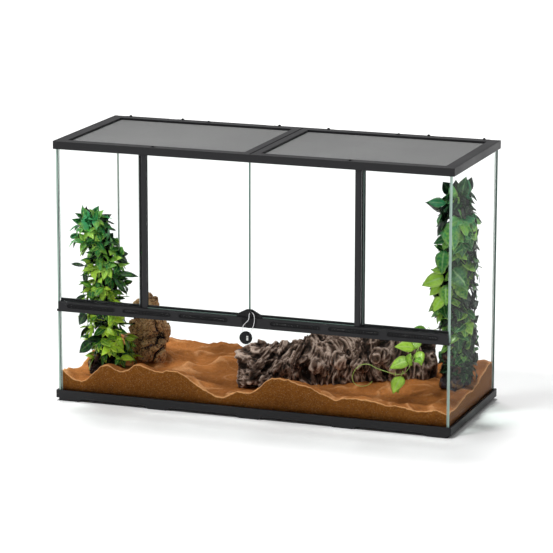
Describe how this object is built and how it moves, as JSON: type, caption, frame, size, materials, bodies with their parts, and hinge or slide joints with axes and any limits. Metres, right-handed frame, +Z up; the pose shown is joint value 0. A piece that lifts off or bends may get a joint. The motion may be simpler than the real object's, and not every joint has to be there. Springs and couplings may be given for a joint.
{
  "type": "terrarium",
  "caption": "Wide front-opening glass terrarium with a dark plastic base and rim, hinged glass doors over a slotted vent strip, lift-off mesh lids, a cable lock and desert furnishing.",
  "frame": {"origin": "on the floor, under the middle of the case", "axes": "+X along the front to the right, -Y out of the front with the doors, +Z up"},
  "size_m": [1.18, 0.468, 0.7566],
  "materials": {
    "clear_glass": "clear float glass with a green edge",
    "black_plastic": "moulded, fine satin grain",
    "dark_trim": "satin",
    "stile_plastic": "satin",
    "handle_plastic": "semi-gloss",
    "lid_plastic": "satin",
    "mesh_steel": "woven stainless mesh",
    "nub_plastic": "satin",
    "lock_black": "semi-gloss",
    "cable_steel": "stranded steel in clear sleeving",
    "dial_white": "satin",
    "sand": "loose desert sand",
    "rock": "rough, pitted",
    "bark": "deeply ridged bark",
    "plant_resin": "rough cast resin",
    "variegated_leaves": "printed leaf sheet",
    "dark_leaves": "printed leaf sheet",
    "lime_leaves": "printed leaf sheet"
  },
  "bodies": {
    "case": {"base_frame": "black_plastic", "floor_pane": "clear_glass", "back_pane": "clear_glass", "left_pane": "clear_glass", "right_pane": "clear_glass", "front_pane": "clear_glass", "left_side_light": "clear_glass", "right_side_light": "clear_glass", "left_post": "dark_trim", "right_post": "dark_trim", "vent_strip": "black_plastic", "vent_inserts": "dark_trim", "keeper_plate": "dark_trim", "top_rim": "black_plastic", "sand_bed": "sand", "rock": "rock", "bark_log": "bark", "left_plant_foot": "plant_resin", "left_foliage": "variegated_leaves", "right_plant_foot": "plant_resin", "right_foliage": "dark_leaves", "vine": "lime_leaves"},
    "left_door": {"left_door_pane": "clear_glass", "left_door_stile": "stile_plastic", "left_door_tab": "handle_plastic"},
    "right_door": {"right_door_pane": "clear_glass", "right_door_stile": "stile_plastic", "right_door_tab": "handle_plastic"},
    "left_lid": {"left_lid_frame": "lid_plastic", "left_lid_mesh": "mesh_steel", "left_lid_grips": "nub_plastic"},
    "right_lid": {"right_lid_frame": "lid_plastic", "right_lid_mesh": "mesh_steel", "right_lid_grips": "nub_plastic"},
    "port_slider_1": {"port_slider_1": "nub_plastic"},
    "port_slider_2": {"port_slider_2": "nub_plastic"},
    "port_slider_3": {"port_slider_3": "nub_plastic"},
    "port_slider_4": {"port_slider_4": "nub_plastic"},
    "port_slider_5": {"port_slider_5": "nub_plastic"},
    "port_slider_6": {"port_slider_6": "nub_plastic"},
    "lock": {"lock_case": "lock_black", "lock_cable": "cable_steel"},
    "lock_dial_1": {"lock_dial_1": "dial_white"},
    "lock_dial_2": {"lock_dial_2": "dial_white"},
    "lock_dial_3": {"lock_dial_3": "dial_white"}
  },
  "joints": [
    {"name": "left_door_hinge", "type": "hinge", "parent": "case", "child": "left_door", "pos_m": [-0.319, -0.217, 0.5], "axis": [0, 0, -1], "range_deg": [0, 105]},
    {"name": "right_door_hinge", "type": "hinge", "parent": "case", "child": "right_door", "pos_m": [0.319, -0.217, 0.5], "axis": [0, 0, 1], "range_deg": [0, 105]},
    {"name": "left_lid_lift", "type": "slide", "parent": "case", "child": "left_lid", "axis": [0, 0, 1], "range_m": [0, 0.06]},
    {"name": "right_lid_lift", "type": "slide", "parent": "case", "child": "right_lid", "axis": [0, 0, 1], "range_m": [0, 0.06]},
    {"name": "port_slider_1_slide", "type": "slide", "parent": "case", "child": "port_slider_1", "axis": [-1, 0, 0], "range_m": [0, 0.024]},
    {"name": "port_slider_2_slide", "type": "slide", "parent": "case", "child": "port_slider_2", "axis": [-1, 0, 0], "range_m": [0, 0.024]},
    {"name": "port_slider_3_slide", "type": "slide", "parent": "case", "child": "port_slider_3", "axis": [-1, 0, 0], "range_m": [0, 0.024]},
    {"name": "port_slider_4_slide", "type": "slide", "parent": "case", "child": "port_slider_4", "axis": [1, 0, 0], "range_m": [0, 0.024]},
    {"name": "port_slider_5_slide", "type": "slide", "parent": "case", "child": "port_slider_5", "axis": [1, 0, 0], "range_m": [0, 0.024]},
    {"name": "port_slider_6_slide", "type": "slide", "parent": "case", "child": "port_slider_6", "axis": [1, 0, 0], "range_m": [0, 0.024]},
    {"name": "lock_swing", "type": "hinge", "parent": "right_door", "child": "lock", "pos_m": [0.008, -0.232, 0.3088], "axis": [-1, 0, 0], "range_deg": [0, 80]},
    {"name": "dial_1_turn", "type": "hinge", "parent": "lock", "child": "lock_dial_1", "pos_m": [0, -0.235, 0.2314], "axis": [0, 0, 1], "continuous": true},
    {"name": "dial_2_turn", "type": "hinge", "parent": "lock", "child": "lock_dial_2", "pos_m": [0, -0.235, 0.236], "axis": [0, 0, 1], "continuous": true},
    {"name": "dial_3_turn", "type": "hinge", "parent": "lock", "child": "lock_dial_3", "pos_m": [0, -0.235, 0.2406], "axis": [0, 0, 1], "continuous": true}
  ]
}
